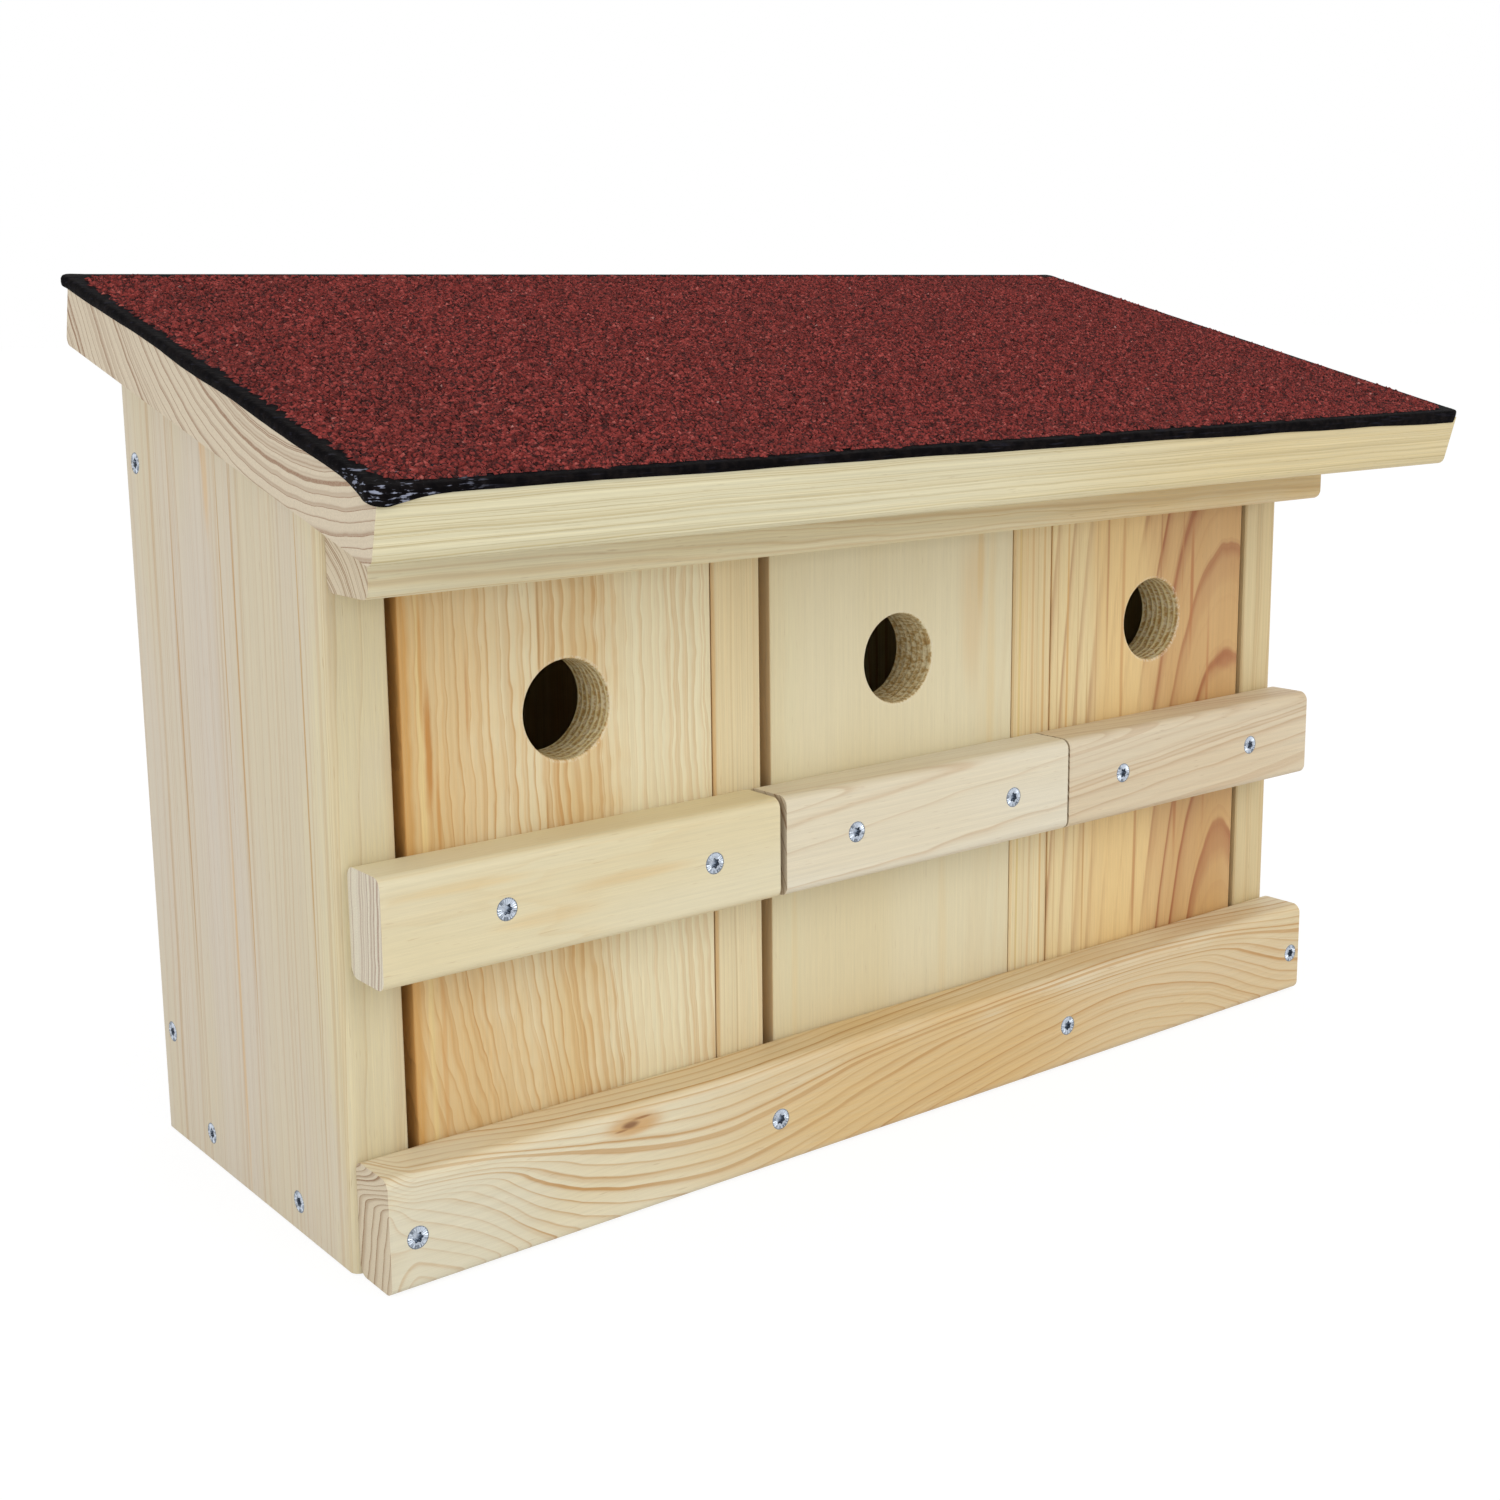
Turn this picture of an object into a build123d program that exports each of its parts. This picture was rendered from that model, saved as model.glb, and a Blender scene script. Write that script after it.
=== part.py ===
from build123d import *
import os
from math import cos, radians, sin, tan

# Nest box with three chambers in a row, of planed pine boards screwed together, under one roof
# board covered with felt. Each chamber is closed in front by a cover that lifts off.
# X runs from the left wall's outer face to the right, Y from the posts' front edges to the back,
# and Z up from the feet. At the end all is moved so that the origin is under the middle.

# Boards
board = 20.0
cover_board = 19.0
roof_board_thickness = 19.5
eased_edge = 3.0
cut_edge = 0.5

# Box
left_chamber_width = 119.0
middle_chamber_width = 120.5
right_chamber_width = 114.5
box_depth = 146.0
front_height = 239.5
roof_slope = 15.0

# Roof and felt
roof_side_overhang = 16.8
roof_front_overhang = 66.0
felt_thickness = 2.5
felt_inset = 0.5
felt_corner_radius = 3.0
felt_edge_radius = 1.2

# Battens on the front
lower_batten_height = 36.8
lower_batten_thickness = 20.0
lower_batten_short = 1.5
upper_batten_thickness = 25.0
upper_batten_drop = 31.0
upper_batten_short = 6.3
battens_start = 2.0
batten_edge = 3.5

# Covers: panel, entrance hole and handle batten
left_cover_gaps = (3.8, 0.5)
middle_cover_gaps = (4.5, 0.5)
right_cover_gaps = (0.5, 2.8)
cover_edge = 0.8
cover_lift = 17.5
cover_head_room = 1.0
entrance_diameter = 32.0
entrance_drop = 75.5
entrance_shift = (0.7, 0.6, 1.5)
entrance_edge = 0.8
handle_height = 34.0
handle_thickness = 20.0
handle_centre_height = 111.0
handle_laps_left = (16.2, 5.3, 10.0)
handle_laps_right = (11.9, 9.0, 17.5)

# Countersunk screws
screw_head_diameter = 7.4
screw_head_height = 2.6
screw_shank_diameter = 3.5
screw_length = 38.0
screw_point = 5.0
handle_screw_length = 35.0
roof_screw_length = 34.0
screw_play = 0.05
star_diameter = 3.6
star_waist = 0.72
star_depth = 1.6

# Where the screws stand
lower_batten_screw_height = 16.7
lower_batten_screw_shift = (1.3, 1.2, 1.6, 3.2)
handle_screw_spacing = (78.0, 75.5, 76.0)
handle_screw_shift = (3.6, 1.0, 1.6)
back_screw_low = 38.0
back_screw_top_drop = 40.0
floor_screw_front = 37.6
floor_screw_back_inset = 40.3
partition_screw_low = 70.0
partition_screw_top_drop = 62.0
roof_screw_front = 24.0
roof_screw_back_inset = 43.0
batten_screw_end = 60.0

# Holes for water and for hanging
drain_diameter = 6.0
drain_front = 42.0
drain_back_inset = 48.0
hanging_hole_diameter = 5.5
hanging_hole_spacing = 280.0
hanging_hole_drop = 54.0


# Places worked out from the sizes above
chamber_widths = (left_chamber_width, middle_chamber_width, right_chamber_width)
cover_gaps = (left_cover_gaps, middle_cover_gaps, right_cover_gaps)
box_width = sum(chamber_widths) + 4 * board
post_starts = [sum(chamber_widths[:n]) + n * board for n in range(4)]
post_middles = [start + board / 2 for start in post_starts]
slope_sine = sin(radians(roof_slope))
slope_cosine = cos(radians(roof_slope))
slope_rise = tan(radians(roof_slope))
inner_depth = box_depth - board
floor_screw_rows = (floor_screw_front, box_depth - floor_screw_back_inset)
roof_top_end = box_depth / slope_cosine
roof_screw_rows = (roof_screw_front, roof_top_end - roof_screw_back_inset)
entrance_height = front_height - entrance_drop


def roof_underside(y):
    """Height of the roof board's underside, y behind the posts' front edges."""
    return front_height + y * slope_rise


# The roof's own plane: X along the eaves, Y up the slope from over the posts' front edges
roof_plane = Plane(origin=(0, 0, front_height), x_dir=(1, 0, 0), z_dir=(0, -slope_sine, slope_cosine))
back_height = roof_underside(box_depth)


def block(x, y, z):
    """Square block between two limits along each axis."""
    size = (x[1] - x[0], y[1] - y[0], z[1] - z[0])
    return Pos(x[0], y[0], z[0]) * Box(*size, align=(Align.MIN, Align.MIN, Align.MIN))


def side_profile(points, x_start, thickness):
    """Board whose outline lies in the side view, given as pairs of Y and Z."""
    outline = make_face(Polyline(*points, close=True))
    return Pos(x_start, 0, 0) * extrude(Plane.YZ * outline, amount=thickness)


def batten(x_start, x_end, bottom, height, thickness):
    """Planed batten on the posts' front edges, with its four long edges eased."""
    section = Plane.YZ * Pos(-thickness / 2, bottom + height / 2) * Rectangle(thickness, height)
    bar = extrude(section, amount=x_end - x_start)
    bar = fillet(bar.edges().filter_by(Axis.X), batten_edge)
    return Pos(x_start, 0, 0) * bar


def star():
    """Outline of the six-lobed recess in a screw's head."""
    radius = star_diameter / 2
    tips = [Vector(radius, 0).rotate(Axis.Z, 60 * n) for n in range(6)]
    waists = [Vector(radius * star_waist, 0).rotate(Axis.Z, 60 * n + 30) for n in range(6)]
    corners = [corner for pair in zip(tips, waists) for corner in pair]
    return make_face(Polyline(*corners, close=True))


def screw_body(length, play=0.0):
    """Head, shank and point turned about Z, with the head's top at the origin."""
    head = screw_head_diameter / 2
    shank = screw_shank_diameter / 2 + play
    outline = Polyline(
        (0, 0),
        (head, 0),
        (shank, -screw_head_height),
        (shank, -length + screw_point),
        (0, -length),
        close=True,
    )
    return revolve(Plane.XZ * make_face(outline), Axis.Z)


def screw(length):
    """Countersunk wood screw with a star recess."""
    return screw_body(length) - extrude(star(), amount=-star_depth)


def seat(point, outward):
    """Place of a screw: the middle of its head, and the way that the head faces."""
    return Plane(origin=point, z_dir=outward)


def screws(seats, length=screw_length):
    """Group of equal screws."""
    return Compound([place * screw(length) for place in seats])


def drilled(piece, seats, length=screw_length):
    """The piece with a countersunk hole wherever a screw passes or ends in it."""
    for place in seats:
        piece -= place * screw_body(length, screw_play)
    return piece


# Screw places, outer face by outer face
left_back_seats = [
    seat((0, box_depth - board / 2, z), (-1, 0, 0))
    for z in (back_screw_low, back_height - back_screw_top_drop)
]
left_floor_seats = [seat((0, y, board / 2), (-1, 0, 0)) for y in floor_screw_rows]
right_back_seats = [
    seat((box_width, box_depth - board / 2, z), (1, 0, 0))
    for z in (back_screw_low, back_height - back_screw_top_drop)
]
right_floor_seats = [seat((box_width, y, board / 2), (1, 0, 0)) for y in floor_screw_rows]
lower_batten_seats = [
    seat((x + shift, -lower_batten_thickness, lower_batten_screw_height), (0, -1, 0))
    for x, shift in zip(post_middles, lower_batten_screw_shift)
]
back_partition_seats = [
    seat((x, box_depth, z), (0, 1, 0))
    for x in post_middles[1:3]
    for z in (partition_screw_low, back_height - partition_screw_top_drop)
]
floor_partition_seats = [seat((x, y, 0), (0, 0, -1)) for x in post_middles[1:3] for y in floor_screw_rows]
roof_normal = roof_plane.z_dir
roof_post_seats = [
    seat(roof_plane.from_local_coords((x, along, roof_board_thickness)), roof_normal)
    for x in post_middles
    for along in roof_screw_rows
]
upper_batten_end = box_width - upper_batten_short
roof_batten_seats = [
    seat(
        roof_plane.from_local_coords((x, -upper_batten_thickness / 2 / slope_cosine, roof_board_thickness)),
        roof_normal,
    )
    for x in (batten_screw_end, upper_batten_end / 2, upper_batten_end - batten_screw_end)
]


# Side walls: upright grain, tops cut to the slope, outer edges eased
def side_wall(x_start, outer_x, seats):
    points = ((0, 0), (box_depth, 0), (box_depth, back_height), (0, front_height))
    wall = side_profile(points, x_start, board)
    uprights = wall.edges().filter_by(Axis.Z)
    outer = [edge for edge in uprights if abs(edge.center().X - outer_x) < board / 2]
    wall = fillet(outer, eased_edge)
    inner = [
        edge
        for edge in wall.edges().filter_by(Axis.Z)
        if abs(edge.center().X - outer_x) > board - cut_edge
    ]
    wall = chamfer(inner, cut_edge)
    return drilled(wall, seats + lower_batten_seats + roof_post_seats)


pieces = {}
pieces["left_side_wall"] = side_wall(0, 0, left_back_seats + left_floor_seats)
pieces["right_side_wall"] = side_wall(box_width - board, box_width, right_back_seats + right_floor_seats)

# Floor board between the side walls, with two drain holes in each chamber
floor = block((board, box_width - board), (0, box_depth), (0, board))
chamber_middles = [start + board + width / 2 for start, width in zip(post_starts, chamber_widths)]
for x in chamber_middles:
    for y in (drain_front, box_depth - drain_back_inset):
        floor -= Pos(x, y, board / 2) * Cylinder(drain_diameter / 2, board)
pieces["floor_board"] = drilled(
    floor, left_floor_seats + right_floor_seats + lower_batten_seats + floor_partition_seats
)

# Back wall standing on the floor board, with two holes for hanging it
back_points = (
    (inner_depth, board),
    (box_depth, board),
    (box_depth, back_height),
    (inner_depth, roof_underside(inner_depth)),
)
back = side_profile(back_points, board, box_width - 2 * board)
for side in (-1, 1):
    x = box_width / 2 + side * hanging_hole_spacing / 2
    hole = Rot(90, 0, 0) * Cylinder(hanging_hole_diameter / 2, board)
    back -= Pos(x, box_depth - board / 2, back_height - hanging_hole_drop) * hole
pieces["back_wall"] = drilled(back, left_back_seats + right_back_seats + back_partition_seats)

# Partitions standing on the floor board, front edges flush with the side walls'
partition_points = (
    (0, board),
    (inner_depth, board),
    (inner_depth, roof_underside(inner_depth)),
    (0, front_height),
)
for name, start in zip(("left_partition", "right_partition"), post_starts[1:3]):
    partition = side_profile(partition_points, start, board)
    front_edges = partition.edges().filter_by(Axis.Z).group_by(Axis.Y)[0]
    partition = chamfer(front_edges, cut_edge)
    pieces[name] = drilled(partition, back_partition_seats + floor_partition_seats + roof_post_seats)

# Roof board: its back edge ends in line with the back wall
roof = block(
    (-roof_side_overhang, box_width + roof_side_overhang),
    (-roof_front_overhang, roof_top_end),
    (0, roof_board_thickness),
)
roof = fillet(roof.edges().filter_by(Axis.X).group_by(Axis.Z)[0], eased_edge)
roof = roof_plane * roof
roof = drilled(roof, roof_post_seats + roof_batten_seats, roof_screw_length)
pieces["roof_board"] = roof

# Felt bonded to the roof board, with round corners and a rolled edge
felt_width = box_width + 2 * roof_side_overhang - 2 * felt_inset
felt_length = roof_front_overhang + roof_top_end - 2 * felt_inset
felt_middle = (box_width / 2, (roof_top_end - roof_front_overhang) / 2, roof_board_thickness)
felt = extrude(RectangleRounded(felt_width, felt_length, felt_corner_radius), amount=felt_thickness)
felt = fillet(felt.edges().group_by(Axis.Z)[-1], felt_edge_radius)
pieces["roof_felt"] = roof_plane * Pos(*felt_middle) * felt

# Battens across the front
upper_batten_bottom = front_height - upper_batten_drop
upper_points = (
    (-upper_batten_thickness, upper_batten_bottom),
    (0, upper_batten_bottom),
    (0, front_height),
    (-upper_batten_thickness, roof_underside(-upper_batten_thickness)),
)
upper = side_profile(upper_points, battens_start, upper_batten_end - battens_start)
upper = fillet(upper.edges().filter_by(Axis.X).group_by(Axis.Z)[0], batten_edge)
pieces["upper_front_batten"] = drilled(upper, roof_batten_seats, roof_screw_length)
lower_batten_end = box_width - lower_batten_short
lower = batten(battens_start, lower_batten_end, 0, lower_batten_height, lower_batten_thickness)
pieces["lower_front_batten"] = drilled(lower, lower_batten_seats)

# Covers: each stands on the floor board behind the lower batten, with its head behind the upper
# one, and lifts until its foot clears the lower batten
panel_top = front_height - cover_lift - cover_head_room
for number, name in enumerate(("left", "middle", "right")):
    chamber_start = post_starts[number] + board
    panel_start = chamber_start + cover_gaps[number][0]
    panel_end = chamber_start + chamber_widths[number] - cover_gaps[number][1]
    panel_middle = (panel_start + panel_end) / 2
    screw_middle = panel_middle + handle_screw_shift[number]
    half_spacing = handle_screw_spacing[number] / 2
    handle_seats = [
        seat((x, -handle_thickness, handle_centre_height), (0, -1, 0))
        for x in (screw_middle - half_spacing, screw_middle + half_spacing)
    ]
    panel = block((panel_start, panel_end), (0, cover_board), (board, panel_top))
    panel = fillet(panel.edges().filter_by(Axis.Z), cover_edge)
    bore = Rot(90, 0, 0) * Cylinder(entrance_diameter / 2, 3 * cover_board)
    panel -= Pos(panel_middle + entrance_shift[number], cover_board / 2, entrance_height) * bore
    circles = panel.edges().filter_by(GeomType.CIRCLE)
    panel = fillet([edge for edge in circles if edge.radius > cover_edge], entrance_edge)
    pieces[f"front_panel_{name}"] = drilled(panel, handle_seats, handle_screw_length)
    handle_bar = batten(
        chamber_start - handle_laps_left[number],
        chamber_start + chamber_widths[number] + handle_laps_right[number],
        handle_centre_height - handle_height / 2,
        handle_height,
        handle_thickness,
    )
    pieces[f"handle_batten_{name}"] = drilled(handle_bar, handle_seats, handle_screw_length)
    pieces[f"handle_screws_{name}"] = screws(handle_seats, handle_screw_length)

# The rest of the screws, one node to each row
pieces["lower_batten_screws"] = screws(lower_batten_seats)
pieces["left_wall_back_screws"] = screws(left_back_seats)
pieces["left_wall_floor_screws"] = screws(left_floor_seats)
pieces["right_wall_back_screws"] = screws(right_back_seats)
pieces["right_wall_floor_screws"] = screws(right_floor_seats)
pieces["back_partition_screws"] = screws(back_partition_seats)
pieces["floor_partition_screws"] = screws(floor_partition_seats)
pieces["roof_post_screws"] = screws(roof_post_seats)
pieces["roof_batten_screws"] = screws(roof_batten_seats, roof_screw_length)

# Move the origin under the middle of the whole and write each piece
whole = Compound(list(pieces.values())).bounding_box()
to_origin = Pos(-whole.center().X, -whole.center().Y, -whole.min.Z)
os.makedirs("parts", exist_ok=True)
for name, piece in pieces.items():
    export_step(to_origin * piece, f"parts/{name}.step")
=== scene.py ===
import math

import bpy
import numpy as np
from mathutils import Matrix, Vector, noise


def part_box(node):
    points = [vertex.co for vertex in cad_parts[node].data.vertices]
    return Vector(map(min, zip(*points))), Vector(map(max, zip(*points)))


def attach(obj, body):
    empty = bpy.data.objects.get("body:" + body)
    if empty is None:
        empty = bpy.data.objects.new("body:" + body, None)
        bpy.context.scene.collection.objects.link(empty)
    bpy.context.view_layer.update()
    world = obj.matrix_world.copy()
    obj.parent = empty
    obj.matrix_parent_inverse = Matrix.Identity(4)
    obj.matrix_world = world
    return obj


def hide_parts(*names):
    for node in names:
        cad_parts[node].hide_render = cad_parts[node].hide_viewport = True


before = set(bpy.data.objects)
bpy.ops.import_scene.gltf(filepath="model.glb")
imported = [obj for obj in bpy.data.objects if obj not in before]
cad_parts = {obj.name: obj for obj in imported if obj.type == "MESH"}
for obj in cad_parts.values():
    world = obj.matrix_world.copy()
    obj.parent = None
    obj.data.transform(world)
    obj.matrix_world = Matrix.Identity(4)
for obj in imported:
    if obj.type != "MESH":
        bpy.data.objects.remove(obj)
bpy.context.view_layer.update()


# The view: the box stands on a pale floor and is seen from the left, from a little above.
# All sizes are in millimetres, across from the left wall's outer face, back from the posts'
# front edges, and up from the floor.
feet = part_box("left_side_wall")[0]


def place(x, y, z):
    return feet + Vector((x, y, z)) / 1000


sight_right = Vector((0.801539, -0.597732, -0.015877))
sight_up = Vector((0.119506, 0.134123, 0.983732))
eye = place(-243.4, -503.3, 283.0)
picture_width = 1500
lens_in_pixels = 1952.9
sight_middle = (689.8, 675.2)
view = bpy.data.cameras.new("view")
view.sensor_width = 36
view.lens = lens_in_pixels / picture_width * view.sensor_width
view.shift_x = (picture_width / 2 - sight_middle[0]) / picture_width
view.shift_y = (sight_middle[1] - picture_width / 2) / picture_width
view.clip_start = 0.01
camera = bpy.data.objects.new("camera", view)
bpy.context.scene.collection.objects.link(camera)
turn = Matrix((sight_right, sight_up, sight_right.cross(sight_up))).transposed().to_4x4()
camera.matrix_world = Matrix.Translation(eye) @ turn
bpy.context.scene.camera = camera
bpy.context.scene.view_settings.view_transform = "Standard"


# Soft studio light: one wide lamp over the front and a weaker one on the left, both turned to
# the middle of the box.
box_middle = Vector((0, 0, 0.15))


def softbox(name, spot, width, power, tint):
    light = bpy.data.lights.new(name, "AREA")
    light.size = width
    light.energy = power
    light.color = tint
    lamp = bpy.data.objects.new(name, light)
    bpy.context.scene.collection.objects.link(lamp)
    lamp.location = spot
    lamp.rotation_euler = (box_middle - Vector(spot)).to_track_quat("-Z", "Y").to_euler()


softbox("front_lamp", (0.9, -2.4, 1.7), 2.0, 24, (1.0, 0.99, 0.96))
softbox("left_lamp", (-2.4, -0.9, 1.0), 1.6, 19, (0.97, 0.99, 1.0))


# A strand: one value on its way through a finish, so that sums on values read as plain sums.
class Strand:
    def __init__(self, finish, socket):
        self.finish = finish
        self.socket = socket

    def sum(self, operation, *others):
        return self.finish.node("Math", {"operation": operation}, (self,) + others)

    def __add__(self, other):
        return self.sum("ADD", other)

    def __radd__(self, other):
        return self.sum("ADD", other)

    def __sub__(self, other):
        return self.sum("SUBTRACT", other)

    def __rsub__(self, other):
        return self.finish.node("Math", {"operation": "SUBTRACT"}, (other, self))

    def __mul__(self, other):
        return self.sum("MULTIPLY", other)

    def __rmul__(self, other):
        return self.sum("MULTIPLY", other)

    def __truediv__(self, other):
        return self.sum("DIVIDE", other)


# A finish: a material and its nodes, with one method that adds any of them, and short words
# for what is used most: a blend of colours, a grain drawn out along the wood, a soft step.
class Finish:
    def __init__(self, name):
        self.material = bpy.data.materials.new(name)
        self.material.use_nodes = True
        self.tree = self.material.node_tree
        self.shader = self.tree.nodes["Principled BSDF"]

    def node(self, kind, settings=None, values=(), output=0):
        made = self.tree.nodes.new("ShaderNode" + kind)
        for word, setting in (settings or {}).items():
            if word == "stops":
                while len(made.color_ramp.elements) < len(setting):
                    made.color_ramp.elements.new(0.5)
                for stop, (at, colour) in zip(made.color_ramp.elements, setting):
                    stop.position = at
                    stop.color = colour if isinstance(colour, tuple) else (colour,) * 3 + (1,)
            else:
                setattr(made, word, setting)
        sockets = values if isinstance(values, dict) else dict(enumerate(values))
        for socket, value in sockets.items():
            if isinstance(value, Strand):
                self.tree.links.new(value.socket, made.inputs[socket])
            else:
                made.inputs[socket].default_value = value
        return Strand(self, made.outputs[output])

    def mixed(self, share, first, second):
        return self.node("Mix", {"data_type": "RGBA"}, {0: share, 6: first, 7: second}, 2)

    def grain(self, across, over, along, scales, detail=2.0, rough=0.5):
        drawn_out = (across / scales[0], over / scales[1], along / scales[2])
        vector = self.node("CombineXYZ", None, drawn_out)
        settled = {"Vector": vector, "Scale": 1.0, "Detail": detail, "Roughness": rough}
        return self.node("TexNoise", None, settled)

    def step(self, value, low, high):
        limits = (value, low, high, 0.0, 1.0)
        return self.node("MapRange", {"interpolation_type": "SMOOTHSTEP"}, limits)

    def put(self, socket, value):
        if isinstance(value, Strand):
            self.tree.links.new(value.socket, self.shader.inputs[socket])
        else:
            self.shader.inputs[socket].default_value = value


# Floor and room: a plain pale sheet that only keeps the box's soft shadow, in a pale room.
# Both show white to the eye and in reflections, and light the box more softly than that.
floor_finish = Finish("studio_floor")
floor_finish.put("Base Color", (0.82, 0.82, 0.82, 1))
floor_finish.put("Roughness", 0.9)
floor_finish.node("LightPath")
seen = floor_finish.tree.nodes[-1]
seen_share = Strand(floor_finish, seen.outputs["Is Camera Ray"])
for kind in ("Is Glossy Ray", "Is Transmission Ray"):
    seen_share = seen_share + Strand(floor_finish, seen.outputs[kind])
white = floor_finish.node("Emission", None, {"Color": (1, 1, 1, 1), "Strength": 1.09})
plain = Strand(floor_finish, floor_finish.shader.outputs[0])
white_share = seen_share.sum("MINIMUM", 1.0) * 0.8
floor_look = floor_finish.node("MixShader", None, (white_share, plain, white))
floor_finish.tree.links.new(floor_look.socket, floor_finish.tree.nodes["Material Output"].inputs[0])
bpy.ops.object.select_all(action="DESELECT")
bpy.ops.mesh.primitive_plane_add(size=60, location=(0, 0, -0.0004))
studio_floor = bpy.context.object
studio_floor.name = "studio_floor"
studio_floor.data.materials.append(floor_finish.material)

world = bpy.data.worlds.new("room")
bpy.context.scene.world = world
world.use_nodes = True
room = world.node_tree
room.nodes.clear()
room_rays = room.nodes.new("ShaderNodeLightPath")
either = room.nodes.new("ShaderNodeMath")
room.links.new(room_rays.outputs["Is Camera Ray"], either.inputs[0])
room.links.new(room_rays.outputs["Is Glossy Ray"], either.inputs[1])
any_ray = room.nodes.new("ShaderNodeMath")
any_ray.use_clamp = True
room.links.new(either.outputs[0], any_ray.inputs[0])
room.links.new(room_rays.outputs["Is Transmission Ray"], any_ray.inputs[1])
dim_room = room.nodes.new("ShaderNodeBackground")
dim_room.inputs[0].default_value = (0.97, 0.985, 1, 1)
dim_room.inputs[1].default_value = 0.79
white_room = room.nodes.new("ShaderNodeBackground")
white_room.inputs[0].default_value = (1, 1, 1, 1)
white_room.inputs[1].default_value = 1.0
room_mix = room.nodes.new("ShaderNodeMixShader")
room.links.new(any_ray.outputs[0], room_mix.inputs[0])
room.links.new(dim_room.outputs[0], room_mix.inputs[1])
room.links.new(white_room.outputs[0], room_mix.inputs[2])
room_out = room.nodes.new("ShaderNodeOutputWorld")
room.links.new(room_mix.outputs[0], room_out.inputs[0])


# Left side wall: a planed pine board, its grain upright, sawn to the roof's slope at the top.
# Every board is its own slice of a solid pine log, with its year rings round a heart line that
# is given by its place across the grain, and by how far it leans along it.
def pine(
    name,
    upright,
    heart,
    lean=(0.0, 0.0),
    ring=3.6,
    pale=(0.70, 0.61, 0.41),
    warm=(0.66, 0.52, 0.30),
    line=(0.50, 0.29, 0.12),
    figure=0.6,
    fine=0.12,
    sway=1.5,
    knit=(13, 60),
    band=0.4,
    uneven=1.6,
    minor=0.0,
    seed=0.0,
    face="x",
    zones=(),
    marks=(),
    swells=(),
    course=None,
    bore=None,
    shaded_sides=None,
    end_wood=(0.61, 0.515, 0.37),
    end_line=(0.25, 0.135, 0.06),
):
    wood = Finish(name)
    spot = wood.node("TexCoord", None, (), "Object")
    spot = wood.node("VectorMath", {"operation": "SUBTRACT"}, (spot, feet))
    spot = wood.node("VectorMath", {"operation": "SCALE"}, {0: spot, "Scale": 1000.0})
    x = wood.node("SeparateXYZ", None, (spot,), 0)
    split = wood.tree.nodes[-1]
    y = Strand(wood, split.outputs[1])
    z = Strand(wood, split.outputs[2])
    across, over, along = (x, y, z) if upright else (y, z, x)
    flat = {"x": x, "y": y, "z": z}[face]

    # year rings round the heart, bent a little by the tree's growth, swollen round its knots,
    # or, on the lower batten, following a course given as places along it and dips
    slow = wood.grain(across + seed, over, along, (60, 60, 300), 1.0)
    bend = wood.grain(across, over + seed, along, (knit[0], knit[0], knit[1]), 2.0)
    side_a = across - heart[0] - along * lean[0] + (slow - 0.5) * (sway * 4.0)
    side_b = over - heart[1] - along * lean[1]
    radius = (side_a * side_a + side_b * side_b).sum("SQRT") + (bend - 0.5) * (sway * 1.5)
    for spot_flat, spot_along, reach_flat, reach_along, push in swells:
        beside = (flat - spot_flat) / reach_flat
        run = (along - spot_along) / reach_along
        radius = radius + ((beside * beside + run * run) * -1.0).sum("EXPONENT") * push

    # the course squeezes together at the batten's left end and flattens toward its upper edge
    if course:
        batten_length, deepest = 448, 64
        stops = [(at / batten_length, dip / deepest) for at, dip in course]
        bow = wood.node("ValToRGB", {"stops": stops}, (along / batten_length,)) * deepest
        wood.tree.nodes["Color Ramp"].color_ramp.interpolation = "B_SPLINE"
        bow = bow * (1.0 - wood.step(over, 25.0, 37.0) * 0.5)
        radius = (over - 18.0) * (wood.step(along, 0.0, 12.0) * 0.8 + 0.2) - bow + (across + 20.0)
        radius = radius + (slow - 0.5) * (sway * 2.0) + (bend - 0.5) * (sway * 1.5)
    season = radius / (ring * 2.6) + seed
    spread = wood.node("TexNoise", {"noise_dimensions": "1D"}, {"W": season, "Detail": 1.0})
    turns = radius / ring + (spread - 0.5) * uneven
    part = turns.sum("FRACT")
    fate = wood.node("TexWhiteNoise", {"noise_dimensions": "1D"}, {"W": turns.sum("FLOOR") + seed})
    late = wood.node(
        "ValToRGB",
        {"stops": [
            (0.0, 0.75), (0.05, 0.12), (0.1, 0.0), (1.0 - band, 0.1),
            (1.0 - band * 0.5, 0.42), (0.94, 1.0), (1.0, 0.9),
        ]},
        (part,),
    )
    late = late * (fate * 0.5 + 0.5)
    if minor:
        hair = (turns * 3.0 + fate * 2.0).sum("FRACT")
        hair = wood.step(hair, 0.55, 0.95) * (minor * (0.4 + fate * 0.6))
        if course:
            hair = hair * wood.step(along, 90.0, 170.0)
        late = late.sum("MAXIMUM", hair)

    # fine lines, fibres, drifting tone, lines that fade in and out, and short brown dashes
    thread = wood.grain(across, over, along + seed, (1.1, 1.1, 150), 2.0, 0.6)
    fibre = wood.grain(across + seed, over, along, (0.4, 0.4, 16), 3.0, 0.65)
    tone = wood.grain(across, over + seed * 3, along, (38, 38, 240), 2.0)
    fade = wood.grain(across, over, along - seed, (26, 26, 110), 1.0)
    dash = wood.step(wood.grain(across - seed, over, along, (0.6, 0.6, 8), 1.0), 0.68, 0.8)

    # zones are tints under the ring lines and marks are stains over them (one, on the left cover,
    # is painted shade), each given as its place across and along, half its width and length, its
    # colour and its strength
    def spotted(colour, spots):
        for spot_flat, spot_along, half_width, half_length, spot_colour, share in spots:
            off = (flat - spot_flat + (bend - 0.5) * half_width) / half_width
            run = (along - spot_along) / half_length
            near = (off * off + run * run).sum("SQRT")
            share = (1.0 - wood.step(near, 0.3, 1.0)) * share * (0.5 + fibre * 0.8)
            colour = wood.mixed(share.sum("MINIMUM", 1.0), colour, spot_colour + (1,))
        return colour

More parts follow.
